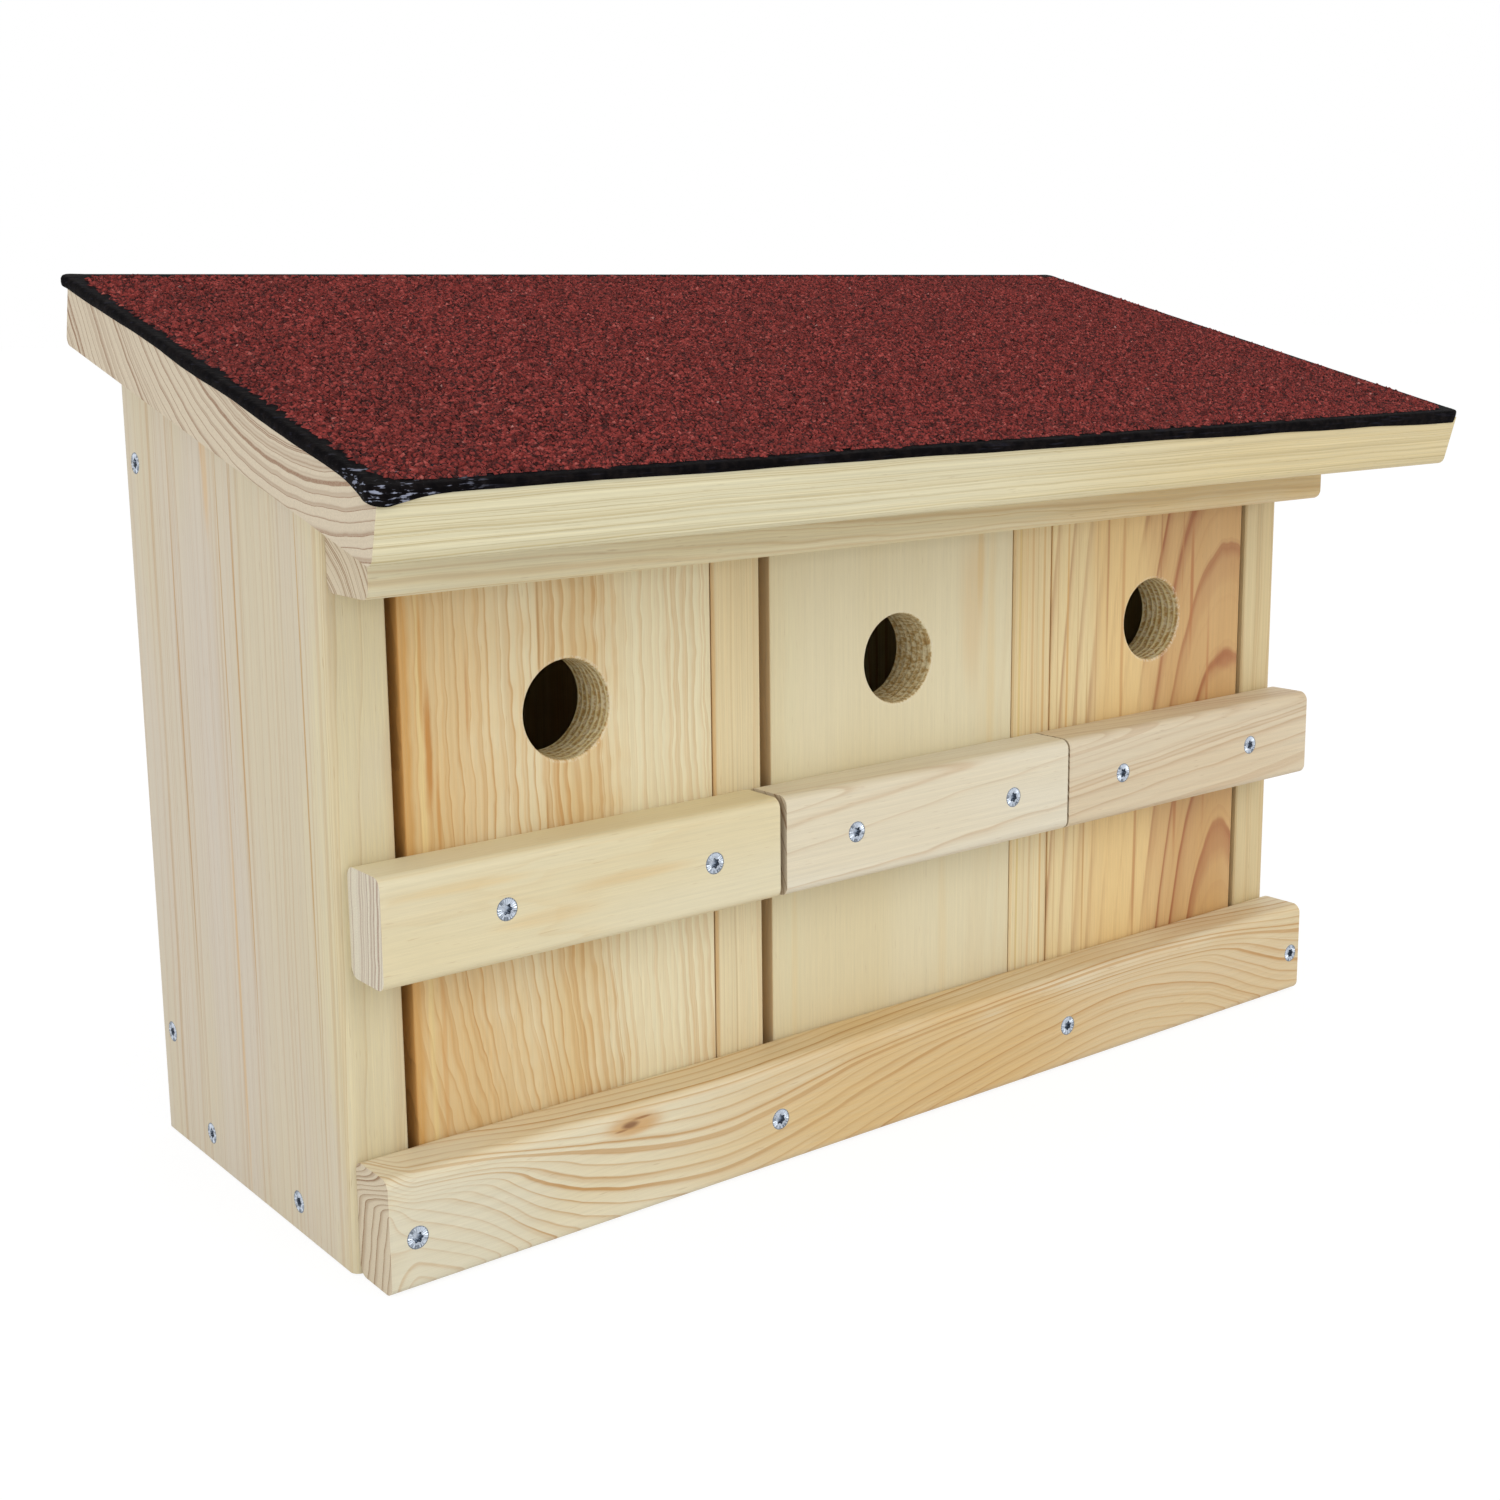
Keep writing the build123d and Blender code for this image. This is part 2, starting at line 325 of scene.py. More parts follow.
    colour = spotted(wood.mixed(wood.step(tone, 0.32, 0.68), pale + (1,), warm + (1,)), zones)
    strength = late * figure * (0.65 + wood.step(fade, 0.25, 0.7) * 0.35)
    strength = strength.sum("MINIMUM", 0.95)
    colour = wood.mixed(strength, colour, line + (1,))
    colour = wood.mixed(dash * 0.3, colour, (line[0] * 0.7, line[1] * 0.6, line[2] * 0.55, 1))
    colour = spotted(colour, marks)
    light = 1.0 + (thread - 0.5) * (fine * 3.0) + (fibre - 0.5) * 0.2
    colour = wood.node("VectorMath", {"operation": "SCALE"}, {0: colour, "Scale": light})

    # sawn ends show the rings as broken reddish lines, and a cheek is painted shade: a board's
    # side faces turned a darker brown, as they are seen only deep in the gaps
    wood.node("SeparateXYZ", None, (wood.node("TexCoord", None, (), "Normal"),))
    toward = wood.tree.nodes[-1]
    end = Strand(wood, toward.outputs[2 if upright else 0]).sum("ABSOLUTE")
    end = wood.step(end, 0.8, 0.93)
    pores = wood.grain(across, over, along, (0.45, 0.45, 2.0), 2.0, 0.7)
    end_late = wood.node(
        "ValToRGB",
        {"stops": [(0.0, 0.35), (0.06, 0.0), (0.5, 0.06), (0.78, 0.5), (0.92, 1.0), (1.0, 0.9)]},
        (part,),
    )
    end_share = end_late * (0.75 + fate * 0.35) * (0.6 + wood.step(pores, 0.3, 0.6) * 0.4)
    end_colour = wood.mixed(end_share, end_wood + (1,), end_line + (1,))
    light = 1.0 + (pores - 0.5) * 0.4
    end_colour = wood.node("VectorMath", {"operation": "SCALE"}, {0: end_colour, "Scale": light})
    colour = wood.mixed(end, colour, end_colour)
    # painted shade: the side faces turn a darker brown, with darker lines on the rings
    if shaded_sides:
        side = wood.step(Strand(wood, toward.outputs[0]).sum("ABSOLUTE"), 0.8, 0.93)
        shaded_sides_line = tuple(0.6 * c for c in shaded_sides)
        shaded_side_colour = wood.mixed(late, shaded_sides + (1,), shaded_sides_line + (1,))
        colour = wood.mixed(side * 0.85, colour, shaded_side_colour)
    height = fibre * 0.7 + late * 0.3 + end * pores * 1.4
    dull = 0.55 + (fibre - 0.5) * 0.25 + end * 0.2

    # the sawn bore is rougher and browner than the planed face, with a torn pale rim; its pale
    # fibres are painted light, brighter than any wood, against the shade inside the bore. It is
    # given as its place across and up, and by how far it shows layers instead of torn wood
    if bore:
        bore_radius = 16.0
        away = x - bore[0]
        rise = z - bore[1]
        away = (away * away + rise * rise).sum("SQRT")
        sunk = 1.0 - wood.step(Strand(wood, toward.outputs[1]).sum("ABSOLUTE"), 0.5, 0.85)
        inside = (1.0 - wood.step(away, bore_radius + 0.3, bore_radius + 1.0)) * sunk
        torn = wood.grain(x, y, z, (0.8, 2.6, 1.6), 4.0, 0.7)
        layer = ((y + (bend - 0.5) * 4.0 + (torn - 0.5) * 0.9) / 2.7).sum("FRACT")
        layer = wood.step(layer, 0.3, 0.75) * (1.0 - wood.step(layer, 0.85, 1.0))
        layered = 0.6 * bore[2]
        bore_share = wood.step(torn, 0.35, 0.75) * (1.0 - layered) + layer * layered
        # painted light: the pale tone of the torn wood is brighter than wood, to light up the
        # bore's shade
        bore_colour = wood.mixed(bore_share, (0.42, 0.25, 0.08, 1), (1.0, 0.92, 0.52, 1))
        colour = wood.mixed(inside * 0.92, colour, bore_colour)
        rim = wood.step(away, bore_radius - 0.4, bore_radius + 0.1)
        rim = rim * (1.0 - wood.step(away, bore_radius + 0.7, bore_radius + 1.3))
        rim = rim * wood.step(torn, 0.45, 0.6)
        colour = wood.mixed(rim * 0.6, colour, (0.74, 0.66, 0.50, 1))
        height = height + inside * (torn + layer) * 2.0

    wood.put("Base Color", colour)
    wood.put("Roughness", dull)
    relief = {"Strength": 0.4, "Distance": 0.00025, "Height": height}
    wood.put("Normal", wood.node("Bump", None, relief))
    return wood.material


def finish_node(node, material):
    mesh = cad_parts[node].data
    mesh.materials.clear()
    mesh.materials.append(material)


orange = (0.62, 0.36, 0.12)
finish_node("left_side_wall", pine(
    "left_wall_pine", True, heart=(-150, 330), lean=(0.0, -0.02), ring=4.5,
    pale=(0.58, 0.505, 0.40), warm=(0.59, 0.51, 0.36), line=(0.44, 0.265, 0.115),
    figure=0.62, fine=0.05, sway=1.6, band=0.34, minor=0.25, seed=3.7, face="y",
    zones=(
        (86, 120, 15, 220, (0.58, 0.51, 0.42), 0.6),
        (-12, 120, 36, 330, (0.66, 0.57, 0.34), 0.85),
    ),
    marks=(
        (78.5, 240, 3.0, 30, orange, 0.5),
        (80.5, 252, 1.5, 15, (0.60, 0.33, 0.12), 0.5),
        (74, 66, 1.4, 90, (0.60, 0.38, 0.17), 0.7),
        (108.5, 140, 0.8, 130, (0.42, 0.23, 0.08), 0.9),
        (60.5, 150, 0.8, 140, (0.46, 0.25, 0.08), 0.9),
        (70.0, 190, 0.6, 90, (0.46, 0.25, 0.08), 0.8),
        (15.5, 150, 0.7, 140, (0.46, 0.26, 0.08), 0.9),
    ),
))


# Right side wall: the same planed pine board on the other side, cut from another log.
# Screws from outside hold both side walls to the back wall and to the floor board.
finish_node("right_side_wall", pine(
    "right_wall_pine", True, heart=(560, 240), ring=4.4,
    pale=(0.64, 0.525, 0.30), warm=(0.62, 0.48, 0.25), line=(0.46, 0.28, 0.11),
    figure=0.5, seed=11.2, face="y",
))


# Back wall and floor board: plain pine boards between the side walls, butted and screwed.
# The back has two holes to hang the box by, and the floor lets water out of each chamber.
finish_node("back_wall", pine(
    "back_pine", True, heart=(190, 190), lean=(0.02, -0.08), ring=5.4,
    pale=(0.66, 0.565, 0.38), figure=0.7, seed=21.0,
))
finish_node("floor_board", pine(
    "floor_pine", False, heart=(60, -80), ring=4.6, seed=28.0, face="y",
))


# Two partitions between the three nest chambers: pine boards, their front edges level with the
# side walls' and their grain upright. Screws hold them through the back wall, floor and roof.
finish_node("left_partition", pine(
    "left_partition_pine", True, heart=(330, 60), ring=2.9,
    pale=(0.72, 0.615, 0.385), warm=(0.70, 0.57, 0.33), line=(0.50, 0.30, 0.12),
    figure=0.5, fine=0.14, seed=33.0,
    marks=(
        (139.6, 120, 1.2, 160, (0.58, 0.35, 0.13), 0.8),
    ),
))
finish_node("right_partition", pine(
    "right_partition_pine", True, heart=(120, 50), ring=3.1,
    pale=(0.73, 0.63, 0.39), warm=(0.71, 0.55, 0.29), line=(0.50, 0.25, 0.08),
    figure=0.75, fine=0.14, sway=0.8, seed=39.0,
    marks=(
        (295.6, 120, 0.9, 170, orange, 0.7),
        (283.0, 120, 0.7, 170, (0.70, 0.55, 0.2), 0.6),
    ),
))


# Roof board: a wide pine board with its grain from side to side, so that its ends show the
# rings. It lies on the walls and partitions and is screwed down before the felt goes on.
finish_node("roof_board", pine(
    "roof_pine", False, heart=(-43, 388), lean=(0.0, 0.004), ring=3.3,
    pale=(0.70, 0.64, 0.44), warm=(0.68, 0.605, 0.39), line=(0.46, 0.35, 0.15),
    figure=0.95, fine=0.16, sway=1.3, band=0.32, minor=0.85, seed=45.0, face="y",
    zones=(
        (-65, 410, 30, 230, (0.66, 0.515, 0.255), 0.75),
        (-65, 60, 30, 130, (0.71, 0.665, 0.46), 0.5),
    ),
    end_wood=(0.61, 0.515, 0.38), end_line=(0.26, 0.14, 0.075),
))


# Two battens of planed pine across the front, their long edges eased. The thick one under the
# roof keeps the covers' heads, and the thin one, screwed to the walls and floor, their feet.
finish_node("upper_front_batten", pine(
    "upper_batten_pine", False, heart=(12, 197), lean=(0.0, -0.02), ring=2.7,
    pale=(0.76, 0.71, 0.53), warm=(0.73, 0.64, 0.41), line=(0.50, 0.30, 0.11),
    figure=0.8, fine=0.1, minor=0.4, seed=52.0, face="z",
    zones=(
        (225, 410, 40, 230, (0.66, 0.45, 0.18), 0.8),
    ),
))
finish_node("lower_front_batten", pine(
    "lower_batten_pine", False, heart=(26, 8), ring=4.3,
    pale=(0.72, 0.65, 0.475), warm=(0.70, 0.60, 0.385), line=(0.47, 0.25, 0.075),
    figure=1.1, fine=0.05, sway=1.2, knit=(10, 40), uneven=0.5, minor=0.3, seed=58.0, face="z",
    course=(
        (0, 47), (7, 44), (18, 40), (30, 34), (40, 28), (50, 19), (60, 13.5), (70, 9.5), (85, 5),
        (103, 2), (122, 0), (138, 1), (160, 5), (181, 10), (213, 18), (248, 24.5), (284, 31),
        (303, 33.5), (323, 35), (345, 34), (375, 28), (398, 18), (420, 10), (448, 5),
    ),
    zones=(
        (12, 345, 44, 210, (0.60, 0.41, 0.195), 0.6),
        (16, 215, 44, 130, (0.64, 0.425, 0.165), 0.8),
        (14, 22, 26, 62, (0.66, 0.615, 0.48), 0.7),
        (40, 150, 7, 240, (0.68, 0.50, 0.26), 0.6),
        (31, 90, 6, 16, (0.58, 0.35, 0.15), 0.6),
    ),
    marks=(
        (12, 16, 34, 52, (0.665, 0.61, 0.46), 0.6),
        (31.0, 90, 5.0, 13, (0.56, 0.32, 0.12), 0.8),
        (31.3, 88.5, 1.7, 4.6, (0.24, 0.11, 0.04), 1.1),
        (32.8, 93, 0.6, 5.0, (0.32, 0.15, 0.05), 1.0),
        (30.0, 85, 0.5, 3.4, (0.34, 0.17, 0.06), 1.0),
    ),
))


# Three front covers: an upright pine board each, with a round entrance sawn through it.
# Each stands loose on the floor board between two posts, and lifts behind the upper batten.
brown_line = (0.46, 0.22, 0.075)
entrance_height = 164
# each cover's cheek colour is painted shade, a darker brown for its sides in the gaps by the posts
finish_node("front_panel_left", pine(
    "left_cover_pine", True, heart=(-190, 30), lean=(-0.02, 0.0), ring=3.7,
    pale=(0.76, 0.68, 0.46), warm=(0.68, 0.51, 0.26), line=(0.52, 0.265, 0.07),
    figure=1.0, fine=0.07, sway=2.6, knit=(9, 17), band=0.62, uneven=0.9, seed=64.0,
    bore=(81.85, entrance_height, 0.9), shaded_sides=(0.66, 0.34, 0.10),
    swells=((38, -10, 60, 66, -17),),
    zones=(
        (30, 140, 44, 230, (0.65, 0.43, 0.18), 0.6),
        (40, 40, 46, 62, (0.64, 0.42, 0.17), 0.5),
        (122, 120, 36, 230, (0.76, 0.69, 0.48), 0.7),
    ),
    marks=(
        # painted shade: a brown strip down the cover's left edge, where the gap by the post is dark
        (24.6, 120, 3.2, 400, (0.56, 0.30, 0.08), 0.9),
        (29.9, 110, 1.4, 230, (0.76, 0.60, 0.27), 0.5),
        (34.0, 60, 1.2, 46, (0.58, 0.30, 0.09), 0.6),
        (32.5, 158, 1.7, 26, (0.50, 0.23, 0.05), 1.1),
        (30.5, 185, 1.0, 30, (0.56, 0.29, 0.08), 0.9),
        (35.0, 136, 1.0, 20, (0.54, 0.27, 0.07), 0.9),
        (46.0, 172, 0.8, 20, (0.54, 0.29, 0.10), 0.8),
        (72, 190, 0.7, 26, (0.46, 0.25, 0.08), 0.9),
        (73.5, 128, 0.6, 18, (0.46, 0.25, 0.08), 0.9),
        (126, 120, 46, 330, (0.77, 0.69, 0.46), 0.55),
    ),
))
finish_node("front_panel_middle", pine(
    "middle_cover_pine", True, heart=(215, 150), ring=7.5,
    pale=(0.70, 0.62, 0.415), warm=(0.68, 0.585, 0.365), line=(0.62, 0.48, 0.27),
    figure=0.3, fine=0.05, sway=3.0, seed=71.0,
    bore=(221.85, entrance_height, 0.1), shaded_sides=(0.70, 0.47, 0.24),
    zones=(
        (258, 178, 8, 40, (0.66, 0.47, 0.24), 0.5),
        (168, 120, 10, 150, (0.70, 0.63, 0.41), 0.6),
    ),
    marks=(
        (268, 150, 3, 90, (0.68, 0.53, 0.28), 0.5),
        (173, 60, 2.0, 60, (0.68, 0.54, 0.29), 0.5),
        (244, 60, 3.0, 50, (0.69, 0.56, 0.32), 0.5),
        (262, 196, 2.5, 26, (0.64, 0.46, 0.22), 0.7),
    ),
))
finish_node("front_panel_right", pine(
    "right_cover_pine", True, heart=(403, -17), lean=(0.0, -0.195), ring=7.714,
    pale=(0.63, 0.405, 0.175), warm=(0.57, 0.34, 0.13), line=(0.34, 0.11, 0.03),
    figure=1.3, fine=0.06, sway=1.5, band=0.38, uneven=0.35, minor=0.15, seed=77.0,
    bore=(357.1, entrance_height, 1.0), shaded_sides=(0.70, 0.41, 0.17),
    zones=(
        (307, 120, 29, 330, (0.76, 0.62, 0.34), 1.0),
        (346, 120, 26, 330, (0.74, 0.53, 0.25), 0.75),
        (403.0, 143, 8, 6, (0.42, 0.17, 0.06), 0.8),
    ),
    marks=(
        (313, 120, 26, 330, (0.76, 0.61, 0.33), 0.5),
        (341, 120, 27, 330, (0.76, 0.55, 0.25), 0.95),
        (340.0, 160, 1.3, 90, (0.54, 0.27, 0.09), 0.7),
        (350.0, 70, 1.2, 60, (0.48, 0.22, 0.07), 0.8),
        (331.0, 190, 0.9, 60, brown_line, 0.8),
        (308.8, 150, 0.8, 110, orange, 0.9),
        (303.5, 120, 0.5, 150, brown_line, 0.45),
        (314.5, 110, 0.5, 150, brown_line, 0.45),
        (320.0, 90, 0.7, 90, (0.50, 0.26, 0.08), 0.8),
        (325.0, 150, 0.5, 150, brown_line, 0.45),
        (374.0, 96, 1.6, 40, (0.44, 0.17, 0.05), 0.9),
        (381.0, 176, 1.5, 34, (0.44, 0.17, 0.05), 0.9),
        (392.0, 120, 1.2, 60, (0.46, 0.19, 0.06), 0.8),
        (362.0, 190, 0.8, 40, brown_line, 0.8),
        (375.0, 190, 0.7, 26, brown_line, 0.8),
    ),
))


# Handles: a short batten of planed pine on each cover, held by two screws, whose ends lap over
# the posts and so stop the cover from falling in.
finish_node("handle_batten_left", pine(
    "left_handle_pine", False, heart=(420, 111), ring=4.0,
    pale=(0.70, 0.625, 0.43), warm=(0.69, 0.595, 0.375), line=(0.62, 0.45, 0.22),
    figure=0.25, fine=0.05, seed=83.0, face="z",
    marks=(
        (106, 60, 3.5, 26, (0.67, 0.50, 0.26), 0.6),
        (113, 92, 3.0, 30, (0.66, 0.48, 0.24), 0.65),
        (121, 30, 2.5, 34, (0.67, 0.50, 0.25), 0.6),
    ),
    end_wood=(0.66, 0.60, 0.47), end_line=(0.36, 0.24, 0.18),
))
finish_node("handle_batten_middle", pine(
    "middle_handle_pine", False, heart=(60, 60), lean=(0.0, 0.10), ring=4.6,
    pale=(0.71, 0.665, 0.55), warm=(0.70, 0.62, 0.46), line=(0.50, 0.33, 0.18),
    figure=0.6, fine=0.07, seed=88.0, face="z",
))
finish_node("handle_batten_right", pine(
    "right_handle_pine", False, heart=(30, 40), lean=(0.0, 0.10), ring=4.2,
    pale=(0.66, 0.565, 0.41), warm=(0.64, 0.52, 0.35), line=(0.44, 0.27, 0.14),
    figure=0.7, fine=0.07, seed=94.0, face="z",
))


# Felt on the roof: a sheet of bitumen, stuck down hot on the board. Its pressed edge is bare,
# glossy and hangs a little over, with a thick drip that set hard at the front left corner.
roof_slope = math.radians(15)
front_height = 239.5
wood_top = 19.5
felt_top = 22.0
sheet_corner = 2.6
lowest_edge = 17.5
felt_low, felt_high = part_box("roof_felt")
felt_left = (felt_low.x - feet.x) * 1000
felt_right = (felt_high.x - feet.x) * 1000
felt_front = -65.5
felt_back = 155.8
eaves = Matrix.Translation(place(0, 0, front_height))
on_roof = eaves @ Matrix.Rotation(roof_slope, 4, "X") @ Matrix.Scale(0.001, 4)


def selected_where(mesh, kind, test):
    bpy.ops.object.mode_set(mode="OBJECT")
    for group in (mesh.vertices, mesh.edges, mesh.polygons):
        group.foreach_set("select", [False] * len(group))
    for item in getattr(mesh, kind):
        item.select = test(item)
    bpy.ops.object.mode_set(mode="EDIT")
    bpy.ops.mesh.select_mode(type={"vertices": "VERT", "edges": "EDGE", "polygons": "FACE"}[kind])


bpy.ops.object.select_all(action="DESELECT")
bpy.ops.mesh.primitive_plane_add(size=1)
bitumen = bpy.context.object
bitumen.name = "felt_bitumen"
bitumen.scale = (felt_right - felt_left, felt_back - felt_front, 1)
bitumen.location = ((felt_left + felt_right) / 2, (felt_front + felt_back) / 2, lowest_edge)
bpy.ops.object.transform_apply()
bpy.ops.object.mode_set(mode="EDIT")
bpy.ops.mesh.select_all(action="SELECT")
bpy.ops.mesh.bevel(affect="VERTICES", offset=sheet_corner, segments=5)
mesh = bitumen.data


def edge_length(e):
    first, second = e.vertices
    return (mesh.vertices[first].co - mesh.vertices[second].co).length


for least, cuts in ((300, 230), (150, 105)):
    selected_where(mesh, "edges", lambda e: edge_length(e) > least)
    bpy.ops.mesh.subdivide(number_cuts=cuts)
bpy.ops.mesh.select_all(action="SELECT")
for lift in (1.0, 1.0, 1.2, 0.9, 0.4):
    bpy.ops.mesh.extrude_region_move(TRANSFORM_OT_translate={"value": (0, 0, lift)})
bpy.ops.mesh.inset(thickness=0.7)
bpy.ops.mesh.inset(thickness=1.3)
bpy.ops.object.mode_set(mode="OBJECT")
levels = sorted({round(v.co.z, 2) for v in mesh.vertices})
middle = Vector(((felt_left + felt_right) / 2, (felt_front + felt_back) / 2))
half = Vector((
    (felt_right - felt_left) / 2 - sheet_corner,
    (felt_back - felt_front) / 2 - sheet_corner,
))
corners = [Vector((x, y)) for x in (felt_left, felt_right) for y in (felt_front, felt_back)]

# the rows of the edge bulge and sag, most at the drip, and the flat part is a little uneven
bulge_at_level = (0.55, 0.75, 0.95, 1.0, 0.62, 0.1)
rise_at_level = (0.0, 0.18, 0.42, 0.72, 0.93, 1.0)
for v in mesh.vertices:
    flat = v.co.xy - middle
    core = Vector((max(-half.x, min(half.x, flat.x)), max(-half.y, min(half.y, flat.y))))
    out = (flat - core).normalized()
    depth = sheet_corner - (flat - core).length
    level = min(levels.index(round(v.co.z, 2)), 5)
    ragged = noise.noise(Vector((v.co.x / 9, v.co.y / 9, 4.0)))
    ragged += 0.5 * noise.noise(Vector((v.co.x / 3, v.co.y / 3, 9.0)))
    low = noise.noise(Vector((v.co.x / 38, v.co.y / 38, 2.0)))
    at_drip = math.exp(-((v.co.xy - corners[0]).length / 12) ** 2)
    right_end = max(0.0, min(1.0, (v.co.x - 60) / 380))
    if depth < 0.5:
        lip = 1.0 + 0.8 * low
        if v.co.y < felt_front + 4:
            lip = max(0.1, 0.3 + 2.0 * right_end ** 2 + 0.5 * low)
        lip += 2.6 * at_drip
        bulge = 1.0 + 0.2 * ragged + 0.7 * at_drip
        bulge *= 1 - 0.6 * max(0.0, min(1.0, (v.co.x - felt_right + 8) / 6))
        to_corners = [(v.co.xy - corner).length for corner in corners]
        corner_push = (1.3 if to_corners[0] < 9 else 0.7) * math.exp(-(min(to_corners) / 4) ** 2)
        v.co.xy += out * (bulge * bulge_at_level[level] + 0.25 + corner_push)
        bottom = wood_top - lip
        v.co.z = bottom + (felt_top - bottom) * rise_at_level[level]
        if level == 0:
            v.co.z += 0.3
    else:
        v.co.z = felt_top + 0.12 * ragged
mesh.transform(on_roof)
bpy.ops.object.mode_set(mode="EDIT")
bpy.ops.mesh.select_all(action="SELECT")
bpy.ops.mesh.normals_make_consistent(inside=False)
bpy.ops.object.mode_set(mode="OBJECT")
bpy.ops.object.shade_smooth_by_angle(angle=math.radians(50))

tar = Finish("felt_bitumen")
spot = tar.node("TexCoord", None, (), "Object")
drawn_out = tar.node("Mapping", None, {"Vector": spot, "Scale": (90, 300, 1300)})
settled = {"Vector": drawn_out, "Scale": 1.0, "Detail": 3.0, "Roughness": 0.6}
streaks = tar.node("TexNoise", None, settled)
lumps = tar.node("TexNoise", None, {"Vector": spot, "Scale": 420.0, "Detail": 3.0})
black, worn_black = (0.004, 0.0035, 0.004, 1), (0.010, 0.008, 0.008, 1)
tar_colour = tar.mixed(tar.step(lumps, 0.35, 0.75), black, worn_black)
# painted highlights: faint bluish streaks of sheen over the black bitumen
tar_colour = tar.mixed(tar.step(streaks, 0.55, 0.72) * 0.35, tar_colour, (0.03, 0.03, 0.045, 1))
# painted highlight: a pale bluish glint streaked over the drip at the front left corner
drip = on_roof @ Vector((felt_left + 6, felt_front, 20))
from_corner = tar.node("VectorMath", {"operation": "DISTANCE"}, (spot, drip), "Value")
drip_highlight = tar.step(streaks * 0.7 + lumps * 0.3, 0.55, 0.61)
drip_highlight = drip_highlight * (1.0 - tar.step(from_corner, 0.004, 0.03))
tar_colour = tar.mixed(drip_highlight * 0.8, tar_colour, (0.34, 0.36, 0.46, 1))
tar.put("Base Color", tar_colour)
tar.put("Roughness", 0.3 + streaks * 0.35)
tar.put("Specular IOR Level", 0.004)
relief = {"Strength": 0.6, "Distance": 0.0006, "Height": streaks * 0.8 + lumps * 0.5}
tar.put("Normal", tar.node("Bump", None, relief))
bitumen.data.materials.append(tar.material)
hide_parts("roof_felt")
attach(bitumen, "box")


# Granules: crushed red stone rolled into the hot bitumen, each stone a little pyramid with its
# own height and tone. The border is ragged where they stop short of the edge.
bpy.ops.object.select_all(action="DESELECT")
stones_across, stone_rows = 275, 142
half_stone = 0.42
bare_rim = 1
bpy.ops.mesh.primitive_grid_add(x_subdivisions=stones_across, y_subdivisions=stone_rows, size=1)
granules = bpy.context.object
granules.name = "felt_granules"
granules.scale = (felt_right - felt_left - 2 * bare_rim, felt_back - felt_front - 2 * bare_rim, 1)
granules.location = (middle.x, middle.y, felt_top)
bpy.ops.object.transform_apply()
mesh = granules.data
chance = np.random.default_rng(7)
count = len(mesh.vertices)
scatter = chance.uniform(-1, 1, (count, 3)) * np.array([0.55, 0.5, 0.10])
spots = np.empty(count * 3)
mesh.vertices.foreach_get("co", spots)
spots = spots.reshape(-1, 3) + scatter
row_step = (felt_back - felt_front - 2 * bare_rim) / stone_rows
row = np.round((spots[:, 1] - scatter[:, 1] - felt_front - bare_rim) / row_step).astype(int)
spots[:, 0] += np.where(row % 2 == 0, half_stone, -half_stone)
mesh.vertices.foreach_set("co", spots.ravel())
bpy.ops.object.mode_set(mode="EDIT")
bpy.ops.mesh.select_all(action="SELECT")
bpy.ops.mesh.poke(offset=0.0)
bpy.ops.object.mode_set(mode="OBJECT")
total = len(mesh.vertices)
spots = np.empty(total * 3)
mesh.vertices.foreach_get("co", spots)
spots = spots.reshape(-1, 3)
spots[:count, 2] = felt_top - 0.05 + chance.uniform(-0.12, 0.05, count)
spots[count:, 2] = felt_top + chance.uniform(0.35, 1.0, total - count)
spots[count:, :2] += chance.uniform(-half_stone, half_stone, (total - count, 2))
mesh.vertices.foreach_set("co", spots.ravel())
tips = [max(face.vertices) for face in mesh.polygons]
tone = chance.uniform(0, 1, total)
shade = mesh.attributes.new("stone", "FLOAT", "FACE")
shade.data.foreach_set("value", tone[tips])


# the bare border wanders, is widest on the left, and turns its corners in a sweep
def ragged_edge(x, y):
    wide = noise.noise(Vector((x / 5, y / 5, 1)))
    return wide + 0.7 * noise.noise(Vector((x / 1.8, y / 1.8, 3)))


ragged = np.array([ragged_edge(tip[0], tip[1]) for tip in spots[count:]])
left_gap = spots[count:, 0] - felt_left - (3.6 + 1.2 * ragged)
right_gap = felt_right - spots[count:, 0] - (1.6 + 0.8 * ragged)
front_gap = spots[count:, 1] - felt_front - (2.6 + 1.1 * ragged)
back_gap = felt_back - spots[count:, 1] - (3.0 + 1.2 * ragged)
corner_sweep = 9
cut = np.full(total - count, float(corner_sweep))
for side_gap in (left_gap, right_gap):
    for end_gap in (front_gap, back_gap):
        side_short = np.minimum(side_gap, corner_sweep) - corner_sweep
        end_short = np.minimum(end_gap, corner_sweep) - corner_sweep
        cut = np.minimum(cut, corner_sweep - np.hypot(side_short, end_short))
lost = {count + i for i in np.nonzero(cut < 0)[0]}
selected_where(mesh, "vertices", lambda v: v.index in lost)
bpy.ops.mesh.delete(type="VERT")
bpy.ops.object.mode_set(mode="OBJECT")
mesh.transform(on_roof)

stone = Finish("red_granules")
tint = stone.node("Attribute", {"attribute_name": "stone"}, (), "Fac")
spot = stone.node("TexCoord", None, (), "Object")
chips = stone.node("TexVoronoi", None, {"Vector": spot, "Scale": 820.0})
chip_gap = stone.step(chips, 0.46, 0.8)
chip_colour = Strand(stone, stone.tree.nodes["Voronoi Texture"].outputs["Color"])
chip_tone = stone.node("SeparateColor", None, (chip_colour,))
stone_colour = stone.node(
    "ValToRGB",
    {"stops": [
        (0.0, (0.040, 0.008, 0.008, 1)),
        (0.25, (0.12, 0.018, 0.016, 1)),
        (0.55, (0.235, 0.032, 0.027, 1)),
        (0.85, (0.37, 0.062, 0.052, 1)),
        (0.97, (0.44, 0.12, 0.10, 1)),
        (1.0, (0.55, 0.34, 0.30, 1)),
    ]},
    (tint * 0.45 + chip_tone * 0.55,),
)
